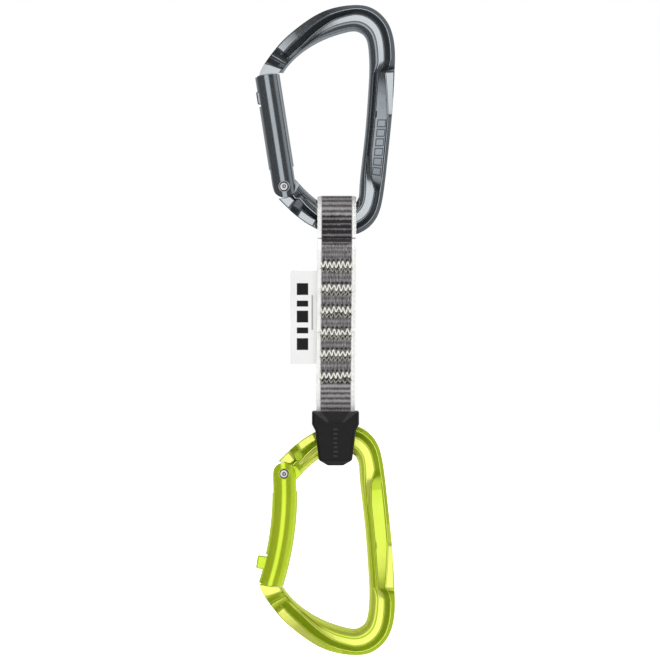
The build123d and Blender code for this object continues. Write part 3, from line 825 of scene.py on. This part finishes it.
def strap(path, start=0.0):
    """A strip of webbing along a path of (y, z): a flat section with round edges.

    Ribs run across its grey middle as a sine of the length along it, and the edges scallop with them. The
    strip thins out towards its cut ends, and a row close beside each end keeps the selvedge's white off
    the cut.
    """
    first, last = path[:1], path[-1:]
    beside_first, beside_last = first + 0.03 * (path[1:2] - first), last + 0.03 * (path[-2:-1] - last)
    path = np.concatenate([first, beside_first, path[1:-1], beside_last, last])
    ahead = np.gradient(path, axis=0)
    run = start + np.concatenate([[0], np.cumsum(np.linalg.norm(np.diff(path, axis=0), axis=1))])
    ahead /= np.linalg.norm(ahead, axis=1)[:, None]
    normal = np.stack([-ahead[:, 1], ahead[:, 0]], -1)
    u = -np.cos(np.linspace(0, pi, HALF_COLUMNS))
    u = np.sign(u) * np.abs(u) ** 0.75
    profile = np.sqrt(np.clip(1 - np.abs(u) ** 14, 0, 1))
    grey = ease((0.5 * WEB_WIDE - SELVEDGE - np.abs(u) * WEB_WIDE / 2) / 0.35 + 0.5)
    rib = 0.13 * np.cos(2 * pi * run / RIB)[:, None] * grey
    left = np.minimum(run - run[0], run[-1] - run)[:, None]
    thinned = np.sqrt(np.clip(0.05 + left / CUT_ROUND, 0, 1))
    half = WEB_THICK / 2 * profile * thinned + rib * profile * (left > CUT_ROUND)
    breadth = 0.5 * width_at(path[:, 1]) * (1 + 0.007 * np.cos(2 * pi * run / RIB))
    across = u * breadth[:, None]
    side = [across, path[:, :1] + half * normal[:, :1], path[:, 1:] + half * normal[:, 1:]]
    other = [across, path[:, :1] - half * normal[:, :1], path[:, 1:] - half * normal[:, 1:]]
    rows = [np.concatenate([a, b[:, ::-1]], 1) for a, b in zip(side, other)]
    grid = np.stack([sling_middle(rows[2]) + rows[0], rows[1], rows[2]], -1)
    uv = np.stack([rows[0], run[:, None] + 0 * rows[0]], -1)
    pale = np.concatenate([1 - grey, (1 - grey)[::-1]]) + 0 * rows[0]
    pale[[0, -1]] = 0
    return grid, uv, pale


def webbing(name, straps, nodes):
    """Strips of webbing as one piece.

    Its masks are the white side, the rows beside the bartacks that needle marks and painted shade darken,
    the plain and the sewn stretches.
    """
    points, faces = merged(*[grid for grid, uv, pale in straps])
    uv = np.concatenate([uv.reshape(-1, 2) for grid, uv, pale in straps])
    side = np.concatenate([pale.ravel() for grid, uv, pale in straps])
    z = points[:, 2]
    rows = np.array(BARTACK_Z)
    # Bands just above and just below each bartack where the yarn is darkened: needle marks and painted
    # shade.
    pricked_and_shaded = np.exp(-((z[:, None] - rows - 2.0) ** 2) / 0.5).sum(1)
    pricked_and_shaded += 1.3 * np.exp(-((z[:, None] - rows + 2.5) ** 2) / 1.2).sum(1)
    plain = ease((z + 84) / 4) + ease((-153 - z) / 2)
    sewn_down = ease((-92.5 - z) / 2) * ease((z + 154) / 2)
    masks = {"side": side, "pricked_and_shaded": np.clip(pricked_and_shaded, 0, 1), "plain": plain, "sewn_down": sewn_down}
    made = to_object(name, points, faces, WOVEN, uv=uv, masks=masks, crease=60)
    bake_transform(made)
    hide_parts(*nodes)


def make_webbing():
    """The upper piece: the loop and the cut end over it. The lower one: the loop and the tucked end."""
    top = [strap(top_path()), strap(front_path(), 0.4)]
    webbing("webbing_upper", top, ["webbing_top_loop"])
    low = [strap(low_path(), 1.1), strap(tuck_path())]
    nodes = ["webbing_middle", "webbing_bottom_loop"]
    webbing("webbing_lower", low, nodes)


# ================================================================ bartacks
TACK_HALF = 7.0  # half a bartack's width
TEETH = 7
SEWN_FACE = 1.5 * LAYER - PINCH  # the webbing's face under a bartack
# The rows of a bartack: name, height above its middle, half a tooth's height, how proud it lies, the
# thread's radius and its finish. The sunk row's finish is the same thread darkened as painted shade.
TACK_ROWS = (
    ("cream", 0.0, 1.45, 0.18, 0.31, CREAM),
    ("sunk", -2.5, 1.0, 0.1, 0.26, SHADE),
)


def zigzag(rng, z, tall, y):
    """A zigzag across the webbing: a triangle wave with soft tips, and a little unevenness."""
    x = np.linspace(-TACK_HALF, TACK_HALF, 24 * TEETH + 1)
    ticks = np.linspace(-TACK_HALF, TACK_HALF, 2 * TEETH + 1)
    tips = tall * (1 - 2 * (np.arange(2 * TEETH + 1) % 2)) + rng.normal(0, 0.26, 2 * TEETH + 1)
    ticks[1:-1] += rng.normal(0, 0.17, 2 * TEETH - 1)
    height = np.interp(x, ticks, tips)
    height = np.convolve(np.pad(height, 2, "edge"), np.ones(5) / 5, "valid")
    wave = 0.12 * np.sign(y) * np.cos(pi * x / TACK_HALF * TEETH)
    return np.stack([sling_middle(z) + x, y + wave, z + height], -1)


def make_bartacks():
    """Each bartack is a cream zigzag on both faces, over a sunk row of its own thread, darkened as painted
    shade.
    """
    rng = np.random.default_rng(11)
    for number, z in enumerate(BARTACK_Z, 1):
        for name, above, tall, proud, radius, finish in TACK_ROWS:
            rows = [zigzag(rng, z + above, tall, side * (SEWN_FACE + proud)) for side in (-1, 1)]
            points, faces = merged(*[tube(row, radius) for row in rows])
            made = to_object(f"bartack_{number}_{name}_thread", points, faces, finish, crease=80)
            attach(made, "sling")
            if name == "cream":
                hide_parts(f"bartack_{number}")


# ================================================================ label
LABEL_X, LABEL_ROOT = -27.3, -14.6
LABEL_Z = (-146.1, -105.2)
LEAF, FOLD = 0.16, 0.22  # half a leaf's thickness, and the radius of the fold at its middle
LABEL_CURL = 0.35


def make_label():
    """A tape folded once: out along the front leaf, round the fold and back along the rear leaf."""
    out = np.linspace(LABEL_ROOT, LABEL_X + FOLD, 60)
    turn = np.linspace(pi / 2, 3 * pi / 2, 9)[1:-1]
    x = np.concatenate([out, LABEL_X + FOLD + FOLD * np.cos(turn), out[::-1]])
    y = np.concatenate([0 * out - FOLD, -FOLD * np.sin(turn), 0 * out + FOLD])
    path = np.stack([x, y], -1)
    ahead = np.gradient(path, axis=0)
    ahead /= np.linalg.norm(ahead, axis=1)[:, None]
    normal = np.stack([-ahead[:, 1], ahead[:, 0]], -1)
    ring = np.concatenate([path + LEAF * normal, (path - LEAF * normal)[::-1]])
    z = np.linspace(*LABEL_Z, 90)
    away = ease((LABEL_ROOT - 1.5 - ring[:, 0]) / 11)
    down = (z[:, None] - LABEL_Z[0]) / (LABEL_Z[1] - LABEL_Z[0])
    curl = LABEL_CURL * away * np.sin(2.2 * pi * down + 0.6)
    grid = np.stack([ring[:, 0] + 0 * down, ring[:, 1] + curl, z[:, None] + 0 * ring[:, 0]], -1)
    uv = grid[..., [0, 2]].reshape(-1, 2)
    made = rings("folded_label", grid, TAPE, uv=uv, crease=60)
    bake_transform(made)
    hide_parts("label")


# ================================================================ keeper
# Levels from the top down: height, half width, half depth.
KEEPER = np.array([
    (-166.9, 10.0, 8.3),
    (-167.3, 10.3, 8.6),
    (-172.4, 10.3, 9.0),
    (-175.2, 8.85, 9.0),
    (-187.8, 7.35, 8.6),
    (-188.4, 6.9, 8.3),
    (-190.5, 3.5, 6.0),
])
KEEPER_X = -7.7
KEEPER_CORNER = 1.6
FUNNEL_LOW, FUNNEL_TOP = -171.7, -167.6
FUNNEL_HALF, FUNNEL_WIDE = 3.6, 9.0  # half its width at the bottom and at the top
FUNNEL_DEEP = 4.4
EMBOSSED = (-187.2, -173.6)
BAR_PITCH, BAR_HALF, BAR_PROUD = 1.95, 1.05, 0.28
KEEPER_ROW = 0.16  # from row to row of the surface
# Levels of the mouth from the top down: height, half width, half depth.
MOUTH = ((-166.9, 9.3, 3.3), (-167.6, 9.1, 2.9), (-170.5, 9.0, 2.3))
# The tunnel is part of a flat ring about the middle of the lower rod's bow.
BOW_CENTRE = np.array([SLING_X, 2 * MIRROR_Z + 66.0])
BOW_INNER, BOW_OUTER, TUNNEL_HALF = 10.8, 25.3, 5.1


def keeper_walls(x, z):
    """How deep the funnel's slanting sides allow it to be: they spread towards the top."""
    edge = FUNNEL_HALF + (FUNNEL_WIDE - FUNNEL_HALF) * (z - FUNNEL_LOW) / (FUNNEL_TOP - FUNNEL_LOW)
    return 0.95 * (edge - np.abs(x))


def keeper_floor(z):
    """The funnel's floor: a short step at the bottom, then a gentle slope up to the mouth."""
    return np.minimum(2.5 * (z - FUNNEL_LOW), 1.1 + 0.5 * (z - FUNNEL_LOW))


def keeper_depth(x, z, deep):
    """Draws the face back in the funnel, between its slanting sides, and raises a column of plain bars."""
    into = np.clip(np.minimum(keeper_floor(z), keeper_walls(x, z)), 0, FUNNEL_DEEP)
    step = (z - EMBOSSED[0]) / BAR_PITCH
    raised = (np.abs(x) < BAR_HALF) & (np.abs(step - np.floor(step) - 0.5) < 0.3)
    raised &= (z > EMBOSSED[0]) & (z < EMBOSSED[1])
    return deep - into + BAR_PROUD * raised


def make_keeper():
    """A rubber sleeve: round-cornered rectangles down its levels, and a funnel sunk into its top."""
    levels = KEEPER[:, 0]
    runs = [
        np.linspace(a, b, max(3, int(abs(b - a) / KEEPER_ROW)))[:-1] for a, b in zip(levels, levels[1:])
    ]
    z = np.concatenate([*runs, levels[-1:]])
    order = KEEPER[::-1]
    wide = np.interp(z, order[:, 0], order[:, 1])
    deep = np.interp(z, order[:, 0], order[:, 2])
    ring = box_ring()
    x = ring[:, 0] * wide[:, None]
    y = ring[:, 1] * deep[:, None]
    corner = np.minimum(KEEPER_CORNER, 0.3 * wide)[:, None]
    x, y = round_corners(x, y, wide[:, None], deep[:, None], corner)
    front = np.abs(ring[:, 1]) > 0.999
    sunk = keeper_depth(x, z[:, None], deep[:, None])
    bars = np.clip(sunk - deep[:, None], 0, 1)
    y = np.where(front, np.sign(y) * (np.minimum(np.abs(y), sunk) + bars), y)
    outer = np.stack([KEEPER_X + x, y, z[:, None] + 0 * x], -1)
    mouth = []
    for level, half_x, half_y in MOUTH:
        inside = [KEEPER_X + ring[:, 0] * half_x, ring[:, 1] * half_y, np.full(len(ring), level)]
        mouth.append(np.stack(inside, -1))
    grid = np.concatenate([outer[::-1], np.stack(mouth)])
    proud = np.clip((sunk - deep[:, None]) / BAR_PROUD, 0, 1) * front
    level = z[:, None]
    in_funnel = front * ((deep[:, None] - sunk) > 0.05)
    slanted = in_funnel * (keeper_walls(x, level) < keeper_floor(level))
    # Where the rubber is a paler grey: the raised bars, the funnel, and most the funnel's slanting sides.
    mask = np.clip(0.3 * proud + 0.25 * in_funnel + 0.45 * slanted, 0, 1)
    mask = np.concatenate([mask[::-1], np.zeros((len(mouth), len(ring)))])
    made = rings("rubber_keeper", grid, RUBBER, masks={"edge": mask}, crease=28)
    cut_tunnel(made)
    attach(made, "keeper")
    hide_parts("keeper")


def box_ring():
    """Directions round a rectangle's border as (x, y) from -1 to 1, corners included."""
    long, short = np.linspace(-1, 1, 84), np.linspace(-1, 1, 40)[1:-1]
    return np.concatenate([
        np.stack([long, -np.ones_like(long)], -1),
        np.stack([np.ones_like(short), short], -1),
        np.stack([long[::-1], np.ones_like(long)], -1),
        np.stack([-np.ones_like(short), short[::-1]], -1),
    ])


def round_corners(x, y, wide, deep, r):
    """Moves points near the corners of a rectangle onto quarter circles."""
    cx, cy = wide - r, deep - r
    over_x, over_y = np.abs(x) - cx, np.abs(y) - cy
    both = (over_x > 0) & (over_y > 0)
    length = np.maximum(np.hypot(over_x, over_y), 1e-9)
    reach = np.maximum(over_x, over_y)
    new_x = np.sign(x) * (cx + over_x / length * reach)
    new_y = np.sign(y) * (cy + over_y / length * reach)
    return np.where(both, new_x, x), np.where(both, new_y, y)


def cut_tunnel(made):
    """Cuts the bowed tunnel that the lower rod lies in: the cutter is part of a flat ring."""
    h, rows = TUNNEL_HALF, []
    for a in np.linspace(radians(20), radians(160), 60):
        ahead = np.array([cos(a), sin(a)])
        (x0, z0), (x1, z1) = BOW_CENTRE + BOW_INNER * ahead, BOW_CENTRE + BOW_OUTER * ahead
        rows.append([(x0, -h, z0), (x1, -h, z1), (x1, h, z1), (x0, h, z0)])
    cutter = rings("tunnel_cutter", np.array(rows), RUBBER)
    change = made.modifiers.new("tunnel", "BOOLEAN")
    change.operation, change.object, change.solver = "DIFFERENCE", cutter, "EXACT"
    shape = made.evaluated_get(bpy.context.evaluated_depsgraph_get())
    mesh = bpy.data.meshes.new_from_object(shape)
    made.modifiers.clear()
    made.data = mesh
    bpy.data.objects.remove(cutter)
    mesh.shade_smooth()
    mesh.set_sharp_from_angle(angle=radians(28))


# ================================================================ stage, light, camera
def world():
    """A pale studio: what polished metal mirrors, as a strength for each direction.

    It is a round bright panel at the front, a little to the left, with dark card round it and the pale
    room beyond, the same again at the back, and more light from the whole back half. The camera itself
    sees plain white.
    """
    made = bpy.data.worlds.new("studio")
    bpy.context.scene.world = made
    made.use_nodes = True
    tree = made.node_tree
    back = tree.nodes["Background"]
    coords = tree.nodes.new("ShaderNodeTexCoord")
    split = tree.nodes.new("ShaderNodeSeparateXYZ")
    tree.links.new(coords.outputs["Generated"], split.inputs[0])
    x, y, z = (Sock(tree, split.outputs[k]) for k in range(3))
    aside = x + 0.10
    off = (aside * aside + z * z).math("SQRT")
    panel = 1 - spread(off, 0.28, 0.38)
    room = spread(off, 0.90, 1.0)
    behind = spread(y, 0.1, 0.5)
    light = 0.08 + 1.0 * panel + 0.40 * room + 0.42 * behind
    rays = tree.nodes.new("ShaderNodeLightPath")
    seen = Sock(tree, rays.outputs["Is Camera Ray"])
    link(tree, light * (1 - seen) + seen, back.inputs["Strength"])
    back.inputs["Color"].default_value = (1, 1, 1, 1)


AIM = (0, 0, -0.13)  # the middle of the object, in metres


def softbox(name, place, size, power):
    """A rectangular lamp that faces the object and doesn't show in the metal; place and size in metres."""
    lamp = bpy.data.lights.new(name, "AREA")
    lamp.shape = "RECTANGLE"
    lamp.size, lamp.size_y = size
    lamp.energy = power
    made = bpy.data.objects.new(name, lamp)
    made.location = place
    made.rotation_euler = (Vector(AIM) - Vector(place)).to_track_quat("-Z", "Y").to_euler()
    made.visible_glossy = False
    bpy.context.scene.collection.objects.link(made)


VIEW_TALL = 290.4  # the height that the camera sees at the object
LENS, SENSOR = 135.0, 36.0
MIDDLE = Vector((-10.1, 0, -131.2)) * MM
FLOOR_R, FLOOR_Z, FLOOR_SIDES = 3000, -300.0, 64


def camera():
    """A long lens square to the front, so far away that the object fills its view."""
    data = bpy.data.cameras.new("camera")
    data.lens, data.sensor_width = LENS, SENSOR
    made = bpy.data.objects.new("camera", data)
    away = VIEW_TALL * MM * LENS / SENSOR
    made.location = MIDDLE - Vector((0, away, 0))
    made.rotation_euler = (radians(90), 0, 0)
    bpy.context.scene.collection.objects.link(made)
    bpy.context.scene.camera = made


def floor():
    """A plain pale floor under the hanging object, lit from within so that it stays white."""
    made = Shader("pale_floor", roughness=0.9, emission_strength=1.0)
    made.feed("Base Color", made.mix(made.noise(60.0), (0.86, 0.86, 0.86), (0.9, 0.9, 0.9)))
    made.feed("Emission Color", made.mix(made.noise(90.0), (0.93, 0.93, 0.93), (0.97, 0.97, 0.97)))
    turn = np.linspace(0, 2 * pi, FLOOR_SIDES, endpoint=False)
    disc = [FLOOR_R * np.cos(turn), FLOOR_R * np.sin(turn), np.full(FLOOR_SIDES, FLOOR_Z)]
    shown = to_object("floor", np.stack(disc, -1), [range(FLOOR_SIDES)], made, smooth=False)
    shown.visible_glossy = False


bpy.context.scene.view_settings.view_transform = "Standard"
world()
camera()
floor()
softbox("key", (-0.9, -1.5, 0.9), (0.9, 0.9), 12)
softbox("fill", (1.2, -1.0, 0.1), (0.6, 1.2), 4)
softbox("back", (0.2, 1.4, 0.8), (1.2, 0.8), 10)

body("upper", SLATE)
body("lower", LIME)
for which in ("upper", "lower"):
    rivet(which)
    coil(which)
make_webbing()
make_bartacks()
make_label()
make_keeper()

for node, finish in {
    "upper_gate": SLATE,
    "lower_gate": LIME,
    "upper_gate_pusher": STEEL,
    "lower_gate_pusher": STEEL,
}.items():
    shown = frame["nodes"][node]
    shown.data.materials.clear()
    shown.data.materials.append(finish.material)
